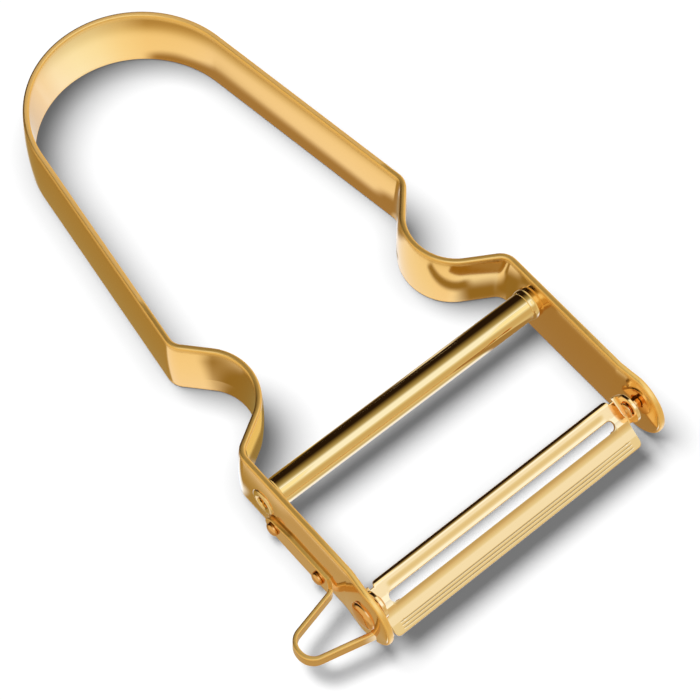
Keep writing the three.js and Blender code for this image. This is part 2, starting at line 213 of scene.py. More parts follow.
CROSSBAR_CENTRE = centre_of("crossbar_tube")
EYE_REAR = centre_of("eye_remover_rivet_rear")
EYE_FRONT = centre_of("eye_remover_rivet_front")
EAR_X = TIP_INNER_X - EAR_GAP - BLADE_THICKNESS / 2
BLADE_HALF = EAR_X - BLADE_END_INSET
SLOT_HALF = BLADE_HALF - SLOT_END_MARGIN
SLOT_REAR_Y = RAIL_REAR_SETBACK - RAIL_WIDTH
CUTTING_EDGE_Y = SLOT_REAR_Y - SLOT_WIDTH
LIP_BEND_Y = CUTTING_EDGE_Y - FACE_WIDTH
BLADE_FRONT_Y = LIP_BEND_Y - LIP_WIDTH
PLATE_X = ARM_OUTER_X + PLATE_GAP + RIBBON_THICKNESS / 2
LOOP_ROOT_Y = EYE_FRONT.y - LOOP_ROOT_LENGTH
LOOP_END_Y = LOOP_ROOT_Y - LOOP_MOUTH
LOOP_TIP_X = MID_X - ribbon_low.x - RIBBON_THICKNESS / 2


class BentLine:
    """Line of straights and arcs through corners (x, y, bend radius), measured along its length."""

    def __init__(self, corners):
        self.stretches = []
        self.length = 0.0
        place = Vector(corners[0][:2])
        for index in range(1, len(corners)):
            corner = Vector(corners[index][:2])
            into = (corner - Vector(corners[index - 1][:2])).normalized()
            heading = math.atan2(into.y, into.x)
            turn = 0.0
            if index < len(corners) - 1:
                away = (Vector(corners[index + 1][:2]) - corner).normalized()
                turn = math.atan2(into.x * away.y - into.y * away.x, into.dot(away))
            radius = corners[index][2]
            start = corner - into * radius * math.tan(abs(turn) / 2)
            self.add((start - place).length, place, heading, 0.0)
            place = start
            if turn and radius:
                bend = math.copysign(1 / radius, turn)
                self.add(radius * abs(turn), place, heading, bend)
                place = corner + away * radius * math.tan(abs(turn) / 2)

    def add(self, length, place, heading, bend):
        if length > 0:
            self.stretches.append((self.length, length, place.copy(), heading, bend))
            self.length += length

    def at(self, along):
        """Point of the line and the direction to its left."""
        found = self.stretches[0]
        for stretch in self.stretches:
            if stretch[0] <= along:
                found = stretch
        start, _, place, heading, bend = found
        run = along - start
        if bend:
            after = heading + bend * run
            x = place.x + (math.sin(after) - math.sin(heading)) / bend
            y = place.y - (math.cos(after) - math.cos(heading)) / bend
            heading = after
        else:
            x = place.x + run * math.cos(heading)
            y = place.y + run * math.sin(heading)
        return Vector((x, y)), Vector((-math.sin(heading), math.cos(heading)))

    def stations(self, step=STATION_STEP):
        """Places along the line, close together in its bends."""
        places = [0.0]
        for start, length, _, _, bend in self.stretches:
            parts = max(1, math.ceil(length / step), math.ceil(abs(bend) * length / STATION_TURN))
            places.extend(start + length * k / parts for k in range(1, parts + 1))
        return np.array(places)


def make_object(name, points, faces, uv, sharp=SHARP_ANGLE):
    """Closed smooth mesh, its faces outward, with texture places (along, across, rim) in metres."""
    mesh = bpy.data.meshes.new(name)
    mesh.from_pydata([tuple(p) for p in points], [], faces)
    corners = np.zeros(len(mesh.loops), int)
    mesh.loops.foreach_get("vertex_index", corners)
    at_corners = np.asarray(uv, float)[corners]
    lengths = mesh.uv_layers.new(name="lengths")
    lengths.data.foreach_set("uv", at_corners[:, :2].ravel())
    rim = mesh.uv_layers.new(name="rim")
    rim.data.foreach_set("uv", at_corners[:, [2, 2]].ravel())
    shape = bmesh.new()
    shape.from_mesh(mesh)
    bmesh.ops.remove_doubles(shape, verts=shape.verts, dist=MERGE_DISTANCE)
    bmesh.ops.recalc_face_normals(shape, faces=shape.faces)
    shape.to_mesh(mesh)
    shape.free()
    mesh.shade_smooth()
    mesh.set_sharp_from_angle(angle=sharp)
    piece = bpy.data.objects.new(name, mesh)
    bpy.context.scene.collection.objects.link(piece)
    return piece


def strip_points(line, stations, lower, upper, half, edge, put):
    """Points, faces and texture places of a bent strip.

    lower and upper give its edges at each station, and meet at its two ends. half gives half of
    its thickness from its lower edge (0) to its upper edge (1). put places (x, y, across).
    """
    along = np.asarray(stations)
    low = np.array([lower(s) for s in along])
    high = np.array([upper(s) for s in along])
    last = len(along) - 1
    top = np.stack([along, high], axis=1)
    bottom = np.stack([along, low], axis=1)
    start = np.array([[along[0], (low[0] + high[0]) / 2]])
    end = np.array([[along[-1], (low[-1] + high[-1]) / 2]])
    outline = np.concatenate([start, top[1:last], end, bottom[1:last][::-1]])
    count = len(outline)
    run = np.roll(outline, -1, axis=0) - np.roll(outline, 1, axis=0)
    run /= np.linalg.norm(run, axis=1)[:, None]
    outward = np.stack([-run[:, 1], run[:, 0]], axis=1)
    thin = half(0.0)
    rings = []
    for side in (1, -1):
        steps = range(EDGE_STEPS + 1)
        arc = [(edge * (1 - math.sin(math.pi / 2 * k / EDGE_STEPS)),
                side * (thin - edge + edge * math.cos(math.pi / 2 * k / EDGE_STEPS))) for k in steps]
        rings.extend(arc if side > 0 else arc[::-1])
    flat = []
    for inset, offset in rings:
        ring = outline - outward * inset
        flat.extend((s, z, offset) for s, z in ring)
    faces = []
    for ring in range(len(rings) - 1):
        for k in range(count):
            after = (k + 1) % count
            faces.append((ring * count + k, ring * count + after,
                          (ring + 1) * count + after, (ring + 1) * count + k))
    for side, ring in ((1, 0), (-1, len(rings) - 1)):
        columns = []
        for k in range(1, last):
            upper_point = ring * count + k
            lower_point = ring * count + count - k
            column = [upper_point]
            a, b = np.array(flat[upper_point]), np.array(flat[lower_point])
            for row in range(1, FACE_ROWS):
                share = row / FACE_ROWS
                s, z, _ = a + (b - a) * share
                column.append(len(flat))
                flat.append((s, z, side * half(1 - share)))
            column.append(lower_point)
            columns.append(column)
        for one, two in zip(columns, columns[1:]):
            faces.extend((one[r], one[r + 1], two[r + 1], two[r]) for r in range(FACE_ROWS))
        for apex, column in ((ring * count, columns[0]), (ring * count + last, columns[-1])):
            faces.extend((apex, column[r], column[r + 1]) for r in range(FACE_ROWS))
    points = []
    for s, z, offset in flat:
        place, left = line.at(s)
        flat_point = place + left * offset
        points.append(put(flat_point.x, flat_point.y, z))
    rim_points = len(rings) * count
    uv = [(s, z, 1.0 if k < rim_points else 0.0) for k, (s, z, _) in enumerate(flat)]
    return points, faces, uv


def turned_points(profile, centre, closed):
    """Points, faces and texture places of a body turned about a line along X from (x, radius)."""
    points, faces, uv, rings = [], [], [], []
    travelled = 0.0
    for index, (x, radius) in enumerate(profile):
        if index:
            travelled += math.dist(profile[index - 1], (x, radius))
        sides = TURNED_SIDES if radius > 0 else 1
        rings.append(list(range(len(points), len(points) + sides)))
        for k in range(sides):
            angle = 2 * math.pi * k / TURNED_SIDES
            points.append((centre.x + x, centre.y + radius * math.cos(angle),
                           centre.z + radius * math.sin(angle)))
            uv.append((travelled, radius * angle, 0.0))
    pairs = list(zip(rings, rings[1:]))
    if closed:
        pairs.append((rings[-1], rings[0]))
    for one, two in pairs:
        for k in range(TURNED_SIDES):
            after = (k + 1) % TURNED_SIDES
            corners = [one[k % len(one)], one[after % len(one)], two[after % len(two)], two[k % len(two)]]
            faces.append(tuple(dict.fromkeys(corners)))
    return points, faces, uv


def cut(piece, cutters):
    """Cuts the cutters out of a piece and removes them."""
    for cutter in cutters:
        modifier = piece.modifiers.new("cut", "BOOLEAN")
        modifier.operation = "DIFFERENCE"
        modifier.solver = "EXACT"
        modifier.object = cutter
    bpy.context.view_layer.update()
    solved = piece.evaluated_get(bpy.context.evaluated_depsgraph_get())
    mesh = bpy.data.meshes.new_from_object(solved)
    piece.modifiers.clear()
    piece.data = mesh
    for cutter in cutters:
        bpy.data.objects.remove(cutter)
    mesh.set_sharp_from_angle(angle=SHARP_ANGLE)
    return piece


def bar_cutter(radius, from_x, to_x, centre):
    profile = [(from_x, 0.0), (from_x, radius), (to_x, radius), (to_x, 0.0)]
    return make_object("cutter", *turned_points(profile, centre, False))


def handle_line():
    to_centre = Vector((-NOTCH_REAR_HALF, BOW_CENTRE_Y - NOTCH_REAR_Y))
    heading = math.atan2(to_centre.y, to_centre.x) - math.asin(BOW_RADIUS / to_centre.length)
    apex_y = NOTCH_REAR_Y - NOTCH_REAR_HALF * math.tan(heading)
    tip_y = TIP_Y - NOTCH_Y
    half = [
        (ARM_HALF + TIP_FLARE, tip_y, 0),
        (ARM_HALF + TIP_FLARE, tip_y + TIP_FLARE_END, TIP_FLARE_RADIUS),
        (ARM_HALF, tip_y + TIP_FLARE_START, TIP_FLARE_RADIUS),
        (ARM_HALF, 0, NOTCH_CORNER_RADIUS),
        (NOTCH_DEEP_HALF, NOTCH_DEEP_Y, NOTCH_RADIUS),
        (NOTCH_REAR_HALF, NOTCH_REAR_Y, NOTCH_CORNER_RADIUS),
    ]
    corners = half + [(0, apex_y, BOW_RADIUS)] + [(-x, y, r) for x, y, r in half[::-1]]
    return BentLine([(MID_X + x, NOTCH_Y + y, r) for x, y, r in corners])


def nose_stations(radius):
    """Places along a round end, closer together at its tip."""
    return [radius * (1 - math.cos(math.pi / 2 * k / NOSE_STEPS)) for k in range(NOSE_STEPS + 1)]


def handle_bow():
    line = handle_line()
    radius = STRIP_HEIGHT / 2
    nose = np.array(nose_stations(radius))
    middle = [s for s in line.stations() if radius < s < line.length - radius]
    stations = np.concatenate([nose, middle, line.length - nose[::-1]])

    def reach(s):
        from_end = min(s, line.length - s, radius)
        return math.sqrt(max(0.0, radius ** 2 - (radius - from_end) ** 2))

    def half(share):
        fall = (2 * share - 1) ** 2
        return STRIP_THICKNESS / 2 + STRIP_CROWN - (STRIP_CROWN + STRIP_EDGE_FALL) * fall

    points = strip_points(line, stations, lambda s: MID_Z - reach(s), lambda s: MID_Z + reach(s),
                          half, STRIP_EDGE_ROUND, lambda x, y, z: (x, y, z))
    bow = make_object("handle_bow_smooth", *points)
    outside = TIP_OUTER_X + STRIP_THICKNESS
    inside = ARM_INNER_X - STRIP_THICKNESS
    holes = [bar_cutter(CROSSBAR_SPIGOT_RADIUS, side * inside, side * outside, CROSSBAR_CENTRE)
             for side in (1, -1)]
    return cut(bow, holes + [ribbon_notch()])


def ribbon_notch():
    """Room in the lower edge of the left arm tip for the end of the eye remover."""
    width = RIBBON_THICKNESS + 2 * LOOP_NOTCH_PLAY
    top = LOOP_LOWER_EDGE + LOOP_HEIGHT + LOOP_NOTCH_PLAY
    outer = MID_X - TIP_OUTER_X
    points = [(x, LOOP_END_Y + y, z) for x in (outer - STRIP_THICKNESS, outer + 2 * STRIP_THICKNESS)
              for y in (-width / 2, width / 2) for z in (-STRIP_HEIGHT, top)]
    faces = [(0, 1, 3, 2), (4, 6, 7, 5), (0, 4, 5, 1), (2, 3, 7, 6), (0, 2, 6, 4), (1, 5, 7, 3)]
    return make_object("cutter", points, faces, [(0, 0, 0)] * len(points))


def crossbar_tube():
    bead_end = ARM_INNER_X - SEAT
    rim_start = ARM_OUTER_X + SEAT
    right = []
    for k in range(2 * DOME_STEPS + 1):
        angle = math.pi * k / (2 * DOME_STEPS)
        along = CROSSBAR_BEAD_WIDTH * (1 + math.cos(angle)) / 2
        right.append((bead_end - along, CROSSBAR_RADIUS + CROSSBAR_BEAD_HEIGHT * math.sin(angle)))
    right += [(bead_end, CROSSBAR_SPIGOT_RADIUS), (rim_start, CROSSBAR_SPIGOT_RADIUS)]
    right.append((rim_start, CROSSBAR_RIM_RADIUS - CROSSBAR_RIM_FOOT))
    roll = (CROSSBAR_RIM_RADIUS - CROSSBAR_BORE_RADIUS) / 2
    for k in range(DOME_STEPS + 1):
        angle = math.pi * k / DOME_STEPS
        out = CROSSBAR_ROLL_START + (1 - CROSSBAR_ROLL_START) * math.sin(angle)
        right.append((rim_start + CROSSBAR_RIM_THICKNESS * out,
                      CROSSBAR_BORE_RADIUS + roll + roll * math.cos(angle)))
    right.append((rim_start - CROSSBAR_MOUTH_FLARE, CROSSBAR_BORE_RADIUS))
    left = [(-x, radius) for x, radius in right[::-1]]
    reach = ARM_INNER_X * CROSSBAR_BODY_SHARE
    body = [(reach * (2 * k / BODY_RINGS - 1), CROSSBAR_RADIUS) for k in range(BODY_RINGS + 1)]
    return make_object("crossbar_tube_smooth", *turned_points(left + body + right, CROSSBAR_CENTRE, True))


def rivet(name, side, centre, tail, shank_radius, head):
    """Rivet along X with a domed tail (end, radius, height) and head (start, radius, rim, height)."""
    tail_end, tail_radius, tail_height = tail
    head_start, head_radius, head_rim, head_height = head
    angles = [math.pi / 2 * k / DOME_STEPS for k in range(DOME_STEPS + 1)]
    profile = [(tail_end - tail_height * math.cos(a), tail_radius * math.sin(a)) for a in angles]
    profile += [(tail_end, shank_radius), (head_start, shank_radius)]
    profile.append((head_start, head_radius * RIVET_HEAD_FOOT))
    dome = head_height - head_rim
    profile += [(head_start + head_rim + dome * math.sin(a), head_radius * math.cos(a)) for a in angles[:-1]]
    profile.append((head_start + head_height, 0.0))
    placed = [(side * x, radius) for x, radius in profile]
    axis = Vector((MID_X, centre.y, centre.z))
    return make_object(name, *turned_points(placed, axis, False))


def pivot_rivet(name, side):
    tail = (EAR_X - BLADE_THICKNESS / 2 - PIVOT_TAIL_GAP, PIVOT_TAIL_RADIUS, PIVOT_TAIL_HEIGHT)
    head = (TIP_OUTER_X + SEAT, PIVOT_HEAD_RADIUS, PIVOT_HEAD_RIM, PIVOT_HEAD_HEIGHT)
    return rivet(name, side, PIVOT, tail, PIVOT_SHANK_RADIUS, head)


def eye_rivet(name, centre):
    tail = (ARM_INNER_X - SEAT, EYE_RIVET_HEAD_RADIUS, EYE_RIVET_HEAD_HEIGHT)
    plate_outer = PLATE_X + RIBBON_THICKNESS / 2
    head = (plate_outer + SEAT, EYE_RIVET_HEAD_RADIUS, EYE_RIVET_HEAD_RIM, EYE_RIVET_HEAD_HEIGHT)
    return rivet(name, -1, centre, tail, EYE_RIVET_SHANK_RADIUS, head)


def ribbon_line():
    return BentLine([(MID_X + x, y, r) for x, y, r in (
        (-PLATE_X, EYE_REAR.y + PLATE_END_RADIUS, 0),
        (-PLATE_X, LOOP_ROOT_Y, LOOP_BEND_RADIUS),
        (-LOOP_TIP_X, LOOP_ROOT_Y - LOOP_TIP_OFFSET, LOOP_TIP_RADIUS),
        (-LOOP_TIP_X, LOOP_ROOT_Y - LOOP_TIP_OFFSET - LOOP_TIP_WIDTH, LOOP_TIP_RADIUS),
        (-TIP_INNER_X, LOOP_END_Y, 0),
    )])


def eye_remover():
    line = ribbon_line()
    rear = EYE_REAR.y + PLATE_END_RADIUS
    plate_low = EYE_REAR.z - PLATE_END_RADIUS
    shoulder = rear - EYE_FRONT.y + PLATE_NOSE_LENGTH
    root = rear - LOOP_ROOT_Y
    taper_end = PLATE_END_RADIUS + PLATE_TAPER_LENGTH
    places = [PLATE_END_RADIUS, taper_end, shoulder, root, line.length - RIBBON_END_ROUND]
    end = line.length

    def nose(s):
        from_end = min(s, PLATE_END_RADIUS)
        return math.sqrt(max(0.0, PLATE_END_RADIUS ** 2 - (PLATE_END_RADIUS - from_end) ** 2))

    def lower(s):
        if s >= end:
            return LOOP_LOWER_EDGE + LOOP_HEIGHT / 2
        if s < PLATE_END_RADIUS:
            return EYE_REAR.z - nose(s)
        edge = [plate_low, plate_low, plate_low, LOOP_LOWER_EDGE, LOOP_LOWER_EDGE]
        return float(np.interp(s, places, edge))

    def upper(s):
        if s >= end:
            return LOOP_LOWER_EDGE + LOOP_HEIGHT / 2
        if s < PLATE_END_RADIUS:
            return EYE_REAR.z + nose(s)
        plate_high = plate_low + PLATE_HEIGHT
        loop_high = LOOP_LOWER_EDGE + LOOP_HEIGHT
        edge = [EYE_REAR.z + PLATE_END_RADIUS, plate_high, plate_high, loop_high, loop_high]
        return float(np.interp(s, places, edge))

    near_end = end - RIBBON_LAST_STEP
    middle = [s for s in line.stations(RIBBON_STEP) if PLATE_END_RADIUS < s < near_end]
    stations = np.concatenate([nose_stations(PLATE_END_RADIUS), sorted(middle + places[1:4]),
                               [near_end, end]])
    points = strip_points(line, stations, lower, upper, lambda share: RIBBON_THICKNESS / 2,
                          RIBBON_EDGE_ROUND, lambda x, y, z: (x, y, z))
    return make_object("eye_remover_smooth", *points)


def slot_half(x):
    """Half of the slot's width at x, none beyond its round ends."""
    radius = SLOT_WIDTH / 2
    past = max(0.0, abs(x) - (SLOT_HALF - radius))
    return math.sqrt(max(0.0, radius ** 2 - past ** 2))


def smooth_step(value):
    share = min(1.0, max(0.0, value))
    return share * share * (3 - 2 * share)


def edge_places(start, end, first, last, rows):
    """Places from start to end, closer together over the rounded edges first and last."""
    angles = [math.pi / 2 * k / EDGE_STEPS for k in range(EDGE_STEPS)]
    head = [start + first * (1 - math.cos(a)) for a in angles]
    tail = [end - last * (1 - math.cos(a)) for a in angles[::-1]]
    return head + list(np.linspace(start + first, end - last, rows)) + tail


def rounded(half, edge, from_edge):
    """Half thickness of a sheet near a rounded edge."""
    if from_edge >= edge or edge <= 0:
        return half
    return half - edge + math.sqrt(max(0.0, edge ** 2 - (edge - from_edge) ** 2))


def blade_bar(line, stations, span, thickness, row_count, edges, groove, turn):
    """Points, faces and texture places of one bar of the blade, from the rear to the front.

    At x, span gives the bar's first and last place on the section line and edges its edge rounds.
    There, thickness gives the offsets above and below and groove a depth and a share of brown, painted shade
    and ground tone.
    """
    points, faces, uv, rows = [], [], [], []
    for x in stations:
        start, end = span(x)
        first, last = edges(x)
        row = []
        for s in edge_places(start, end, first, last, row_count):
            place, left = line.at(s)
            above, below = thickness(x, s - start, end - s)
            sunk, shade_and_ground_share = groove(x, s, s - start)
            for offset in (above - sunk, -below - sunk):
                spot = place - left * offset
                points.append(turn(x, spot.x, spot.y))
                uv.append((x, s, shade_and_ground_share))
            row.append((len(points) - 2, len(points) - 1))
        rows.append(row)
    for one, two in zip(rows, rows[1:]):
        for k in range(len(one) - 1):
            for layer in (0, 1):
                faces.append((one[k][layer], one[k + 1][layer], two[k + 1][layer], two[k][layer]))
    return points, faces, uv, rows


def blade_line():
    """Section of the blade from the end of its rear hem over the cutting edge to the front, as (y, z)."""
    curl_turn = math.atan(CUTTING_EDGE_LIFT / EDGE_CURL_REACH)
    hem_y = RAIL_REAR_SETBACK + HEM_LENGTH * math.cos(HEM_ANGLE)
    return BentLine([
        (hem_y, -BLADE_DROP - HEM_LENGTH * math.sin(HEM_ANGLE), 0),
        (RAIL_REAR_SETBACK, -BLADE_DROP, HEM_BEND_RADIUS),
        (SLOT_REAR_Y, -BLADE_DROP, BLADE_BEND_RADIUS),
        (CUTTING_EDGE_Y, -BLADE_DROP + CUTTING_EDGE_LIFT, 0),
        (CUTTING_EDGE_Y - EDGE_CURL_REACH, -BLADE_DROP, EDGE_CURL_REACH / math.tan(curl_turn / 2)),
        (LIP_BEND_Y, -BLADE_DROP, BLADE_BEND_RADIUS),
        (BLADE_FRONT_Y, -BLADE_DROP - LIP_DROP, 0),
    ])


def corner_cut(x, half_length, radius):
    """Length that a round corner takes off a bar at x."""
    past = min(radius, max(0.0, abs(x) - (half_length - radius)))
    return radius - math.sqrt(radius ** 2 - past ** 2)


def blade_sheet(turn):
    half = BLADE_THICKNESS / 2
    line = blade_line()

    def place_of(y):
        low, high = HEM_LENGTH, line.length
        for _ in range(HALVINGS):
            middle = (low + high) / 2
            if line.at(middle)[0].x > y:
                low = middle
            else:
                high = middle
        return low

    slot_place = place_of((SLOT_REAR_Y + CUTTING_EDGE_Y) / 2)
    groove_place = place_of(SLOT_REAR_Y + GROOVE_INSET)
    line_places = [place_of(BLADE_FRONT_Y + LIP_LINE_INSET + k * LIP_LINE_PITCH)
                   for k in range(LIP_LINE_COUNT)]
    straight = SLOT_HALF - SLOT_WIDTH / 2

    def rail_hollow(x, s, _):
        width = GROOVE_REAR_WIDTH if s < groove_place else GROOVE_FRONT_WIDTH
        share = min(1.0, abs(s - groove_place) / width)
        fade = smooth_step((BLADE_HALF - GROOVE_END_MARGIN - abs(x)) / GROOVE_FADE)
        return GROOVE_DEPTH * fade * (1 + math.cos(math.pi * share)) / 2, 0.0

    # Scribed lip lines, sunk and darkened with brown painted shade, and brown along the ground edge, partly
    # its ground tone and partly painted shade
    def lip_hollow(x, s, from_start):
        share = min(1.0, min(abs(s - place) for place in line_places) / (LIP_LINE_WIDTH / 2))
        fade = smooth_step((BLADE_HALF - LIP_LINE_END_MARGIN - abs(x)) / LIP_LINE_PITCH)
        sunk = fade * (1 + math.cos(math.pi * share)) / 2
        ground = GROUND_EDGE_SHADE_SHARE * smooth_step(1 - from_start / CUTTING_BEVEL_WIDTH)
        return LIP_LINE_DEPTH * sunk, max(sunk, ground)

    def edge_at_slot(x):
        return BLADE_EDGE_ROUND * min(1.0, slot_half(x) / (SLOT_WIDTH / 2))

    def rear_span(x):
        return corner_cut(x, BLADE_HALF - RAIL_END_INSET, BLADE_CORNER_RADIUS), slot_place - slot_half(x)

    def front_span(x):
        return slot_place + slot_half(x), line.length - corner_cut(x, BLADE_HALF, BLADE_CORNER_RADIUS)

    def rear_thickness(x, from_start, from_end):
        reach = min(rounded(half, BLADE_EDGE_ROUND, from_start), rounded(half, edge_at_slot(x), from_end))
        return reach, reach

    def front_thickness(x, from_start, from_end):
        reach = rounded(half, BLADE_EDGE_ROUND, from_end)
        ground = smooth_step((straight - abs(x)) / (SLOT_WIDTH / 2))
        missing = (BLADE_THICKNESS - CUTTING_EDGE_THICKNESS) * max(0.0, 1 - from_start / CUTTING_BEVEL_WIDTH)
        return reach, reach - ground * missing

    stations = np.unique(np.round(np.concatenate([
        -BLADE_HALF + BLADE_END_PLACES, np.linspace(-BLADE_HALF, BLADE_HALF, BLADE_STATIONS),
        BLADE_HALF - BLADE_END_PLACES[::-1], [-SLOT_HALF, SLOT_HALF, -straight, straight]]), STATION_DIGITS))
    rear = blade_bar(line, stations, rear_span, rear_thickness, RAIL_ROWS,
                     lambda x: (BLADE_EDGE_ROUND, edge_at_slot(x)), rail_hollow, turn)
    front = blade_bar(line, stations, front_span, front_thickness, FACE_AND_LIP_ROWS,
                      lambda x: (edge_at_slot(x), BLADE_EDGE_ROUND), lip_hollow, turn)
    points, faces, uv = [], [], []
    for bar, slot_end in ((rear, -1), (front, 0)):
        shift = len(points)
        bar_points, bar_faces, bar_uv, rows = bar
        points.extend(bar_points)
        uv.extend(bar_uv)
        for one, two in zip(rows, rows[1:]):
            for k in (0, -1):
                x_one, x_two = bar_uv[one[k][0]][0], bar_uv[two[k][0]][0]
                open_here = max(slot_half(x_one), slot_half(x_two)) > 0
                if k != slot_end or open_here:
                    bar_faces.append((one[k][0], one[k][1], two[k][1], two[k][0]))
        for row in (rows[0], rows[-1]):
            for a, b in zip(row, row[1:]):
                bar_faces.append((a[0], b[0], b[1], a[1]))
        faces.extend(tuple(shift + v for v in face) for face in bar_faces)
    return make_object("blade_sheet", points, faces, uv, BLADE_SHARP_ANGLE)


def blade_ear(side, turn):
    """Ear bent up from one end of the sheet, with a round top about the pivot line."""
    line = BentLine([
        (EAR_X - EAR_BEND_RADIUS, -BLADE_DROP, 0),
        (EAR_X, -BLADE_DROP, EAR_BEND_RADIUS),
        (EAR_X, EAR_RADIUS, 0),
    ])
    level = line.length - EAR_RADIUS

    def reach(s):
        if s <= 0:
            return 0.0
        past = max(0.0, s - level)
        return math.sqrt(max(0.0, EAR_RADIUS ** 2 - past ** 2))

    nose = line.length - np.array(nose_stations(EAR_RADIUS))[::-1]
    middle = [s for s in line.stations(EAR_STEP) if 0 < s < level]
    stations = np.concatenate([[0.0, EAR_FIRST_STEP], middle, nose])
    points, faces, uv = strip_points(line, stations, lambda s: -reach(s), reach,
                                     lambda share: BLADE_THICKNESS / 2, EAR_EDGE_ROUND,
                                     lambda x, z, y: turn(side * x, y, z))
    ear = make_object("blade_ear", points, faces, [(along, across, 0.0) for along, across, _ in uv])
    hole = bar_cutter(EAR_HOLE_RADIUS, side * (EAR_X - EAR_GAP), side * (EAR_X + EAR_GAP),
                      Vector((MID_X, PIVOT.y, PIVOT.z)))
    return cut(ear, [hole])


def joined(name, pieces):
    """One object made of several."""
    mesh = bmesh.new()
    for piece in pieces:
        mesh.from_mesh(piece.data)
    target = pieces[0]
    mesh.to_mesh(target.data)
    mesh.free()
    for piece in pieces[1:]:
        bpy.data.objects.remove(piece)
    target.name = name
    return target


def blade():
    cos, sin = math.cos(BLADE_TILT), math.sin(BLADE_TILT)

    def turn(x, y, z):
        return MID_X + x, PIVOT.y + y * cos - z * sin, PIVOT.z + y * sin + z * cos

    return joined("blade_smooth", [blade_sheet(turn), blade_ear(1, turn), blade_ear(-1, turn)])


def node(tree, kind, inputs=None, **settings):
    made = tree.nodes.new(kind)
    for key, value in settings.items():
        setattr(made, key, value)
    for key, value in (inputs or {}).items():
        if isinstance(value, bpy.types.NodeSocket):
            tree.links.new(value, made.inputs[key])
        else:
            made.inputs[key].default_value = value
    return made


def math_node(tree, operation, *values):
    return node(tree, "ShaderNodeMath", dict(enumerate(values)), operation=operation).outputs[0]


def smooth_rise(tree, value, start, end):
    """Share of the way of a value from start to end, with a soft start and end."""
    inputs = {"Value": value, "From Min": start, "From Max": end}
    return node(tree, "ShaderNodeMapRange", inputs, interpolation_type="SMOOTHSTEP").outputs[0]


def ramp(tree, value, stops):
    """Colour ramp with stops (place, colour)."""
    made = node(tree, "ShaderNodeValToRGB", {"Fac": value})
    elements = made.color_ramp.elements
    elements[0].position = stops[0][0]
    elements[1].position = stops[-1][0]
    elements[0].color = (*stops[0][1], 1)
    elements[1].color = (*stops[-1][1], 1)
    for place, colour in stops[1:-1]:
        elements.new(place).color = (*colour, 1)
    return made.outputs["Color"]


def mixed(tree, factor, one, two, blend="MIX"):
    """Mix of two colours, each a socket or a colour, which are inputs 6 and 7 of the node."""
    made = node(tree, "ShaderNodeMix", data_type="RGBA", blend_type=blend)
    for index, value in ((0, factor), (6, one), (7, two)):
        if isinstance(value, bpy.types.NodeSocket):
            tree.links.new(value, made.inputs[index])
        else:
            made.inputs[index].default_value = value if index == 0 else (*value, 1)
    return made.outputs[2]


def blank_material(name):
    material = bpy.data.materials.new(name)
    material.use_nodes = True
    material.node_tree.nodes.clear()
    return material, material.node_tree


def show(tree, shader, kind="Material"):
    """Connects a shader to the output of its material or world."""
    output = node(tree, "ShaderNodeOutput" + kind)
    tree.links.new(shader, output.inputs["Surface"])


# Drawn lines of the metal, per metre along and across, and its slow change of tone
DRAWN_SCALE = (60, 9000, 1)
DRAWN_DETAIL = 3.0
DRAWN_STRENGTH = 0.05
DRAWN_DEPTH = 0.01 * MM
TONE_SCALE = 70.0
TONE_DETAIL = 2.0


def gold(name, light, deep, rim_and_shade_colour, rough, rim_rough):
    """Gold-coloured metal with fine drawn lines along its length, rougher on its cut rims."""
    material, tree = blank_material(name)
    lengths = node(tree, "ShaderNodeUVMap", uv_map="lengths").outputs["UV"]
    drawn = node(tree, "ShaderNodeMapping", {"Vector": lengths, "Scale": DRAWN_SCALE}).outputs[0]
    inputs = {"Vector": drawn, "Scale": 1.0, "Detail": DRAWN_DETAIL}
    lines = node(tree, "ShaderNodeTexNoise", inputs).outputs["Fac"]
    place = node(tree, "ShaderNodeTexCoord").outputs["Object"]
    inputs = {"Vector": place, "Scale": TONE_SCALE, "Detail": TONE_DETAIL}
    tone = node(tree, "ShaderNodeTexNoise", inputs).outputs["Fac"]
    # The rim share takes the rim colour: on the strips their rims, on the blade brown painted shade in its
    # lip lines and along its ground edge
    rim = node(tree, "ShaderNodeUVMap", uv_map="rim").outputs["UV"]
    rim_and_shade_share = node(tree, "ShaderNodeSeparateXYZ", {"Vector": rim}).outputs["X"]
    face_rough = node(tree, "ShaderNodeMapRange", {"Value": lines, "To Min": rough[0], "To Max": rough[1]})
    inputs = {"Height": lines, "Strength": DRAWN_STRENGTH, "Distance": DRAWN_DEPTH}
    bump = node(tree, "ShaderNodeBump", inputs)
    shader = node(tree, "ShaderNodeBsdfPrincipled", {
        "Base Color": mixed(tree, rim_and_shade_share, mixed(tree, tone, light, deep), rim_and_shade_colour),
        "Metallic": 1.0,
        "Roughness": math_node(tree, "MULTIPLY_ADD", rim_and_shade_share, rim_rough, face_rough.outputs["Result"]),
        "Normal": bump.outputs["Normal"],
    })
    show(tree, shader.outputs[0])
    return material


def strip_gold():
    """Smooth strip of the handle and the eye remover, duller on its rims."""
    return gold("gold_strip", light=(0.92, 0.565, 0.165), deep=(0.9, 0.545, 0.155),
                rim_and_shade_colour=(0.96, 0.57, 0.15), rough=(0.09, 0.13), rim_rough=0.3)


def polished_gold():
    """Bright tube of the crossbar."""
    return gold("polished_gold", light=(0.91, 0.62, 0.235), deep=(0.89, 0.6, 0.22),
                rim_and_shade_colour=(0.9, 0.61, 0.23), rough=(0.03, 0.06), rim_rough=0.0)


def blade_gold():
    """Paler sheet of the blade, with brown painted shade in its scribed lip lines, and brown along its
    ground edge, partly its own ground tone and partly painted shade.
    """
    return gold("pale_gold_blade", light=(0.98, 0.665, 0.285), deep=(0.96, 0.64, 0.265),
                rim_and_shade_colour=(0.5, 0.36, 0.16), rough=(0.07, 0.12), rim_rough=0.1)


def rivet_gold():
    """Redder metal of the rivets."""
    return gold("copper_gold_rivet", light=(0.87, 0.47, 0.15), deep=(0.82, 0.42, 0.13),
                rim_and_shade_colour=(0.85, 0.45, 0.14), rough=(0.12, 0.2), rim_rough=0.0)


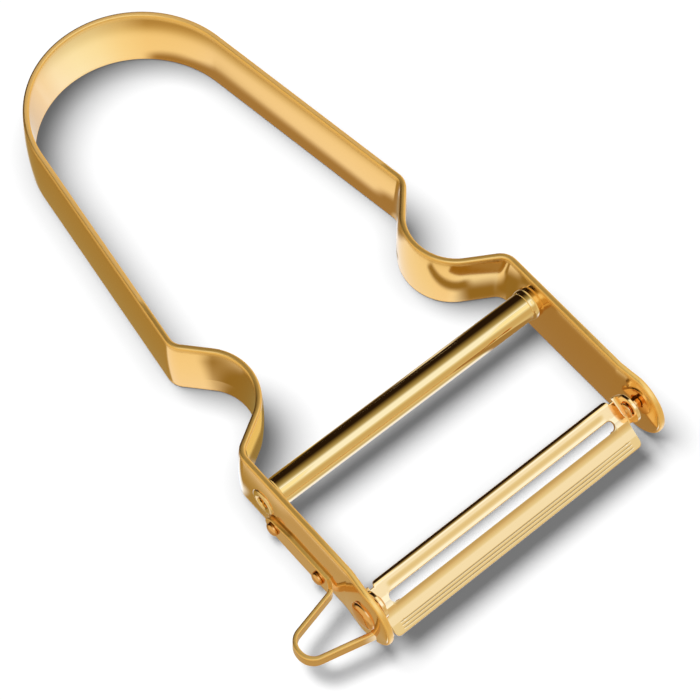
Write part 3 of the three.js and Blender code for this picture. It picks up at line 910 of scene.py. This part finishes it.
# Light from above by direction round the X axis: 0 is the rear, 90 above and 180 the front
ROUND_LIGHT = [
    (0, (0.02, 0.012, 0.008)),
    (42, (0.02, 0.012, 0.008)),
    (56, (0.13, 0.1, 0.05)),
    (72, (0.32, 0.29, 0.16)),
    (88, (0.5, 0.5, 0.4)),
    (103, (1.1, 1.38, 2.2)),
    (132, (1.1, 1.38, 2.2)),
    (141, (0.84, 0.91, 0.93)),
    (153, (0.68, 0.61, 0.46)),
    (178, (0.68, 0.61, 0.46)),
    (200, (0.78, 0.77, 0.7)),
    (230, (0.6, 0.54, 0.42)),
    (300, (0.36, 0.27, 0.13)),
    (330, (0.24, 0.18, 0.08)),
    (343, (0.02, 0.012, 0.008)),
]

# Light from below by direction round the Z axis: 0 is the right, 90 the rear and 180 the left
FLOOR_ROUND = [
    (0, (1.0, 1.02, 1.12)),
    (25, (0.84, 0.79, 0.74)),
    (45, (0.78, 0.72, 0.64)),
    (67, (0.98, 1.0, 1.05)),
    (77, (0.55, 0.48, 0.34)),
    (84, (0.4, 0.29, 0.1)),
    (128, (0.42, 0.31, 0.1)),
    (135, (0.5, 0.41, 0.2)),
    (143, (1.0, 1.0, 1.05)),
    (146, (1.02, 1.04, 1.14)),
    (220, (1.02, 1.04, 1.14)),
    (247, (1.05, 1.15, 1.4)),
    (275, (1.07, 1.3, 1.9)),
    (300, (1.08, 1.36, 2.1)),
    (330, (1.07, 1.3, 1.95)),
    (348, (1.02, 1.1, 1.35)),
]

# Share of the light from below by height of its direction, in degrees
FLOOR_HEIGHT = [
    (-90, (1.0, 1.0, 1.0)),
    (-52, (1.0, 1.0, 1.0)),
    (-51, (0.9, 0.88, 0.82)),
    (-50, (0.78, 0.74, 0.6)),
    (-49, (0.64, 0.56, 0.37)),
    (-48, (0.52, 0.42, 0.22)),
    (-46.5, (0.44, 0.33, 0.15)),
]

# How much of that fall shows in each direction round the Z axis
FLOOR_FALL_SHARE = [
    (0, 0.2), (128, 0.1), (140, 1.0), (222, 1.0), (247, 0.55), (275, 0.4), (335, 0.4), (352, 0.2),
]

# Light from the sides and on matt surfaces, and where directions turn to the sides and to the table
SIDE_LIGHT = (0.85, 0.8, 0.65)
AMBIENT = 0.17
SIDE_REACH = (0.5, 0.75)
FLOOR_REACH = (-0.6, -0.74)

# Colours of the cards that show only in the metal: painted reflections, the dark ones painted shade and the
# bright ones painted highlights
DIM = (0.4, 0.29, 0.15)
DARK = (0.32, 0.23, 0.07)
DEEP = (0.34, 0.2, 0.03)
HALF = (0.56, 0.46, 0.28)
BRIGHT = (1.0, 1.05, 1.15)
PALE = (1.05, 1.25, 1.6)
GOLD = (0.88, 0.74, 0.3)
WARM = (1.1, 1.25, 1.4)

# Those cards, in millimetres and degrees: name, middle, half sizes, turn, colour, solid shares, height
MIRROR_CARDS = [
    ("right_arm_card", (27.2, -40.2), (6.2, 15.8), 0, DIM, (0.6, 0.85)),
    ("right_notch_front_card", (26.8, -20.1), (5.4, 4), 149, DARK, (0.3, 0.15)),
    ("right_notch_edge_card", (21.9, -25), (6.8, 2.3), 156, DEEP, (0.8, 0.8)),
    ("right_notch_far_card", (18.7, -17.5), (7.8, 1.8), -34, DARK, (0.75, 0.25)),
    ("right_flank_foot_card", (23.7, -3.8), (2.7, 1.4), 42, DARK, (0.4, 0.4)),
    ("right_notch_bright_card", (17.6, -7.4), (6.2, 8.5), 0, BRIGHT, (0.6, 0.7)),
    ("right_flank_bright_card", (24.2, -0.7), (3.4, 1.6), 30, BRIGHT, (0.5, 0.4)),
    ("right_rear_corner_card", (26.2, 2.6), (4.7, 4.4), 0, DIM, (0.5, 0.35)),
    ("right_rear_foot_card", (23.5, 22.5), (24, 2.9), 97.7, DIM, (0.9, 0.38)),
    ("right_bow_foot_card", (18.6, 46.3), (5.5, 2.6), 126, DIM, (0.5, 0.3)),
    ("left_notch_inner_card", (-13.7, -14.3), (7, 3.8), 33, DARK, (0.6, 0.75)),
    ("left_corner_top_card", (-11, -18.5), (5.5, 3.5), 33, GOLD, (0.7, 0.7)),
    ("left_notch_card", (-14.5, -10.1), (6.5, 6.2), 20.7, DARK, (0.7, 0.4)),
    ("left_notch_upper_card", (-14.1, -9), (6, 5.4), 18, DARK, (0.7, 0.3), 4),
    ("left_corner_card", (-21, -17), (2.8, 5), 0, PALE, (0.5, 0.6)),
    ("left_arm_card", (-24.8, -37), (4.2, 13), 0, HALF, (0.5, 0.6)),
    ("loop_card", (-29, -49), (8, 8), 0, HALF, (0.6, 0.6)),
    ("left_tip_card", (-14, -44), (9, 11), 0, WARM, (0.6, 0.6), 32),
    ("right_tip_card", (40, -44), (9, 11), 0, WARM, (0.6, 0.6), 32),
]

# Step down from each card to the next, so that earlier ones lie on top
CARD_STEP = 0.01 * MM

# Glowing card over the upper edge of the bow, between two places along the strip, for a painted highlight
# along that edge
RIM_CARD_SPAN = (64 * MM, 182 * MM)
RIM_CARD_HALF = 1.1 * MM
RIM_CARD_HEIGHT = 13.6 * MM
RIM_CARD_SHIFT = Vector((0.6, 0.9)) * MM
RIM_LIGHT = (0.68, 0.7, 0.86)


def studio_world():
    """White for the camera, plain grey for matt surfaces, and for metal a studio seen by direction."""
    world = bpy.data.worlds.new("studio")
    bpy.context.scene.world = world
    world.use_nodes = True
    world.cycles.sampling_method = "NONE"
    tree = world.node_tree
    tree.nodes.clear()
    direction = node(tree, "ShaderNodeTexCoord").outputs["Generated"]
    axes = node(tree, "ShaderNodeSeparateXYZ", {"Vector": direction}).outputs

    def turn_share(up, across):
        turn = math_node(tree, "ARCTAN2", up, across)
        return math_node(tree, "FRACT", math_node(tree, "DIVIDE", turn, 2 * math.pi))

    above = ramp(tree, turn_share(axes["Z"], axes["Y"]), [(a / 360, c) for a, c in ROUND_LIGHT])
    aside = smooth_rise(tree, math_node(tree, "ABSOLUTE", axes["X"]), *SIDE_REACH)
    above = mixed(tree, aside, above, SIDE_LIGHT)
    heading = turn_share(axes["Y"], axes["X"])
    below = ramp(tree, heading, [(a / 360, c) for a, c in FLOOR_ROUND])
    height = math_node(tree, "ARCSINE", axes["Z"])
    share = math_node(tree, "MULTIPLY_ADD", height, 1 / math.pi, 0.5)
    fall = ramp(tree, share, [(a / 180 + 0.5, c) for a, c in FLOOR_HEIGHT])
    fall_share = ramp(tree, heading, [(a / 360, (s, s, s)) for a, s in FLOOR_FALL_SHARE])
    below = mixed(tree, 1.0, below, mixed(tree, fall_share, (1, 1, 1), fall), "MULTIPLY")
    lower = smooth_rise(tree, axes["Z"], *FLOOR_REACH)
    studio = mixed(tree, lower, above, below)
    path = node(tree, "ShaderNodeLightPath").outputs
    shine = math_node(tree, "MAXIMUM", path["Is Glossy Ray"], path["Is Transmission Ray"])
    lit = mixed(tree, shine, (AMBIENT, AMBIENT, AMBIENT), studio)
    seen = mixed(tree, path["Is Camera Ray"], lit, (1, 1, 1))
    background = node(tree, "ShaderNodeBackground", {"Color": seen, "Strength": 1.0})
    show(tree, background.outputs[0], "World")


# Painted contact shade in the table's colour, by how open it is to the sides: darker where the object stands
# close by
CONTACT_REACH = 5 * MM
CONTACT_SHADE_TONES = [(0, (0.45, 0.45, 0.45)), (0.6, (0.84, 0.84, 0.84)), (0.95, (1, 1, 1))]
FLOOR_SIZE = 3
FLOOR_DROP = 0.1 * MM


def floor():
    bpy.ops.mesh.primitive_plane_add(size=FLOOR_SIZE, location=(0, 0, -FLOOR_DROP))
    plane = bpy.context.object
    plane.name = "table"
    material = bpy.data.materials.new("table_white")
    material.use_nodes = True
    tree = material.node_tree
    shader = tree.nodes["Principled BSDF"]
    # Painted contact shade: the table's colour darkens where the object stands close
    near = node(tree, "ShaderNodeAmbientOcclusion", {"Distance": CONTACT_REACH}).outputs["AO"]
    tree.links.new(ramp(tree, near, CONTACT_SHADE_TONES), shader.inputs["Base Color"])
    shader.inputs["Roughness"].default_value = 1
    shader.inputs["Specular IOR Level"].default_value = 0
    plane.data.materials.append(material)
    plane.visible_glossy = False
    return plane


# Key lamp
KEY_STRENGTH = 2.95
KEY_SPREAD = math.radians(40)
KEY_TOWARDS = Vector((0.24, -0.32, -1))


def key_light():
    lamp = bpy.data.lights.new("key", "SUN")
    lamp.energy = KEY_STRENGTH
    lamp.angle = KEY_SPREAD
    key = bpy.data.objects.new("key", lamp)
    bpy.context.scene.collection.objects.link(key)
    key.rotation_euler = KEY_TOWARDS.normalized().to_track_quat("-Z", "Y").to_euler()
    key.visible_glossy = False
    return key


# Kinds of ray that miss the cards that show only in the metal, and those that only cast a shadow
MIRROR_ONLY = ("camera", "diffuse", "transmission", "shadow")
SHADOW_ONLY = ("camera", "diffuse", "glossy", "transmission")


def studio_card(name, points, faces, missed):
    """Card of the studio that some kinds of ray miss."""
    mesh = bpy.data.meshes.new(name)
    mesh.from_pydata(points, [], faces)
    card = bpy.data.objects.new(name, mesh)
    bpy.context.scene.collection.objects.link(card)
    for ray in missed:
        setattr(card, "visible_" + ray, False)
    return card


def shade_card(name, outline, height):
    """Card that only casts a shadow, as wide as the outline (x, y) at a height over the table."""
    return studio_card(name, [(x, y, height) for x, y in outline], [tuple(range(len(outline)))], SHADOW_ONLY)


def ribbon_sides(line, start, end, half, shift):
    """Both edges of a flat ribbon along a bent line, between two places along it."""
    sides = [[], []]
    for along in line.stations():
        if start < along < end:
            place, left = line.at(along)
            for side, sign in zip(sides, (1, -1)):
                side.append(place + left * sign * half + shift)
    return sides


# Shades of the blade and its rail, in millimetres: name, front edge, rear edge, height over the table
BLADE_SHADES = [("blade_shade", -55.0, -48.9, 5.6), ("rail_shade", -46.3, -43.6, 3.2)]

# Shade of the eye loop
LOOP_SHADE_HALF = 0.8 * MM
LOOP_SHADE_HEIGHT = 4 * MM
LOOP_SHADE_SHIFT = Vector((0.2, -1.8)) * MM


def blade_shades():
    """Shade on the table in front of the blade, and a narrow one under its rail."""
    left, right = MID_X - BLADE_HALF, MID_X + BLADE_HALF
    cards = []
    for name, front, rear, height in BLADE_SHADES:
        front, rear = front * MM, rear * MM
        outline = [(left, front), (right, front), (right, rear), (left, rear)]
        cards.append(shade_card(name, outline, height * MM))
    return cards


def loop_shade():
    """Shade of the eye loop, which stands clear of the table."""
    root = EYE_REAR.y + PLATE_END_RADIUS - LOOP_ROOT_Y
    one, two = ribbon_sides(ribbon_line(), root, math.inf, LOOP_SHADE_HALF, LOOP_SHADE_SHIFT)
    return shade_card("loop_shade", one + two[::-1], LOOP_SHADE_HEIGHT)


def card_light(name, colour, solid=None):
    """Plain light of a card, which fades from the shares solid of its half sizes to its edges."""
    material, tree = blank_material(name)
    shader = node(tree, "ShaderNodeEmission", {"Color": (*colour, 1)}).outputs[0]
    if solid:
        place = node(tree, "ShaderNodeTexCoord").outputs["Object"]
        spot = node(tree, "ShaderNodeSeparateXYZ", {"Vector": place}).outputs
        cover = [smooth_rise(tree, math_node(tree, "ABSOLUTE", spot[axis]), 1.0, full)
                 for axis, full in zip("XY", solid)]
        clear = node(tree, "ShaderNodeBsdfTransparent").outputs[0]
        inputs = {0: math_node(tree, "MULTIPLY", *cover), 1: clear, 2: shader}
        shader = node(tree, "ShaderNodeMixShader", inputs).outputs[0]
    show(tree, shader)
    return material


def mirror_card(index, name, place, reach, turn, colour, solid, height=0):
    """Soft-edged glowing card that shows only in the metal: painted shade in its reflections where dark, a
    painted highlight where bright.
    """
    corners = [(-1, -1, 0), (1, -1, 0), (1, 1, 0), (-1, 1, 0)]
    card = studio_card(name, corners, [(0, 1, 2, 3)], MIRROR_ONLY)
    card.location = (place[0] * MM, place[1] * MM, height * MM - index * CARD_STEP)
    card.scale = (reach[0] * MM, reach[1] * MM, 1)
    card.rotation_euler.z = math.radians(turn)
    card.data.materials.append(card_light(name, colour, solid))
    return card


def rim_card():
    """Narrow glowing card over the upper edge of the bow that shows only in the metal, a painted highlight
    along that edge.
    """
    one, two = ribbon_sides(handle_line(), *RIM_CARD_SPAN, RIM_CARD_HALF, RIM_CARD_SHIFT)
    count = len(one)
    points = [(*spot, RIM_CARD_HEIGHT) for spot in one + two]
    faces = [(k, count + k, count + k + 1, k + 1) for k in range(count - 1)]
    card = studio_card("rim_card", points, faces, MIRROR_ONLY)
    card.data.materials.append(card_light("rim_card", RIM_LIGHT))
    return card


def camera():
    lens = bpy.data.cameras.new("camera")
    lens.sensor_width = CAMERA_SENSOR
    lens.lens = CAMERA_LENS
    eye = bpy.data.objects.new("camera", lens)
    bpy.context.scene.collection.objects.link(eye)
    ahead = (CAMERA_TARGET - CAMERA_PLACE).normalized()
    right = ahead.cross(Vector((0, 0, 1))).normalized()
    up = right.cross(ahead)
    cos, sin = math.cos(CAMERA_ROLL), math.sin(CAMERA_ROLL)
    right, up = right * cos + up * sin, up * cos - right * sin
    eye.matrix_world = Matrix.Translation(CAMERA_PLACE) @ Matrix((right, up, -ahead)).transposed().to_4x4()
    lens.clip_start = CAMERA_NEAR
    bpy.context.scene.camera = eye


def add_piece(piece, node_name, body, material, shadow=True, mirrored=True):
    piece.data.materials.clear()
    piece.data.materials.append(material)
    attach(piece, body)
    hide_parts(node_name)
    piece.visible_diffuse = False
    piece.visible_shadow = shadow
    piece.visible_glossy = mirrored
    return piece


strip, tube, sheet, copper = strip_gold(), polished_gold(), blade_gold(), rivet_gold()

pieces = [
    add_piece(handle_bow(), "handle_bow", "handle", strip, mirrored=False),
    add_piece(crossbar_tube(), "crossbar_tube", "handle", tube),
    add_piece(blade(), "blade", "blade", sheet, shadow=False),
    add_piece(eye_remover(), "eye_remover", "handle", strip, shadow=False),
    add_piece(pivot_rivet("pivot_rivet_right_smooth", 1), "pivot_rivet_right",
              "handle", copper),
    add_piece(pivot_rivet("pivot_rivet_left_smooth", -1), "pivot_rivet_left",
              "handle", copper),
    add_piece(eye_rivet("eye_rivet_rear_smooth", EYE_REAR), "eye_remover_rivet_rear",
              "handle", copper),
    add_piece(eye_rivet("eye_rivet_front_smooth", EYE_FRONT), "eye_remover_rivet_front",
              "handle", copper),
]

floor()
loop_shade()
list(blade_shades())
[mirror_card(k, *card) for k, card in enumerate(MIRROR_CARDS)]
rim_card()
key_light()
studio_world()
camera()
bpy.context.scene.view_settings.view_transform = "Standard"
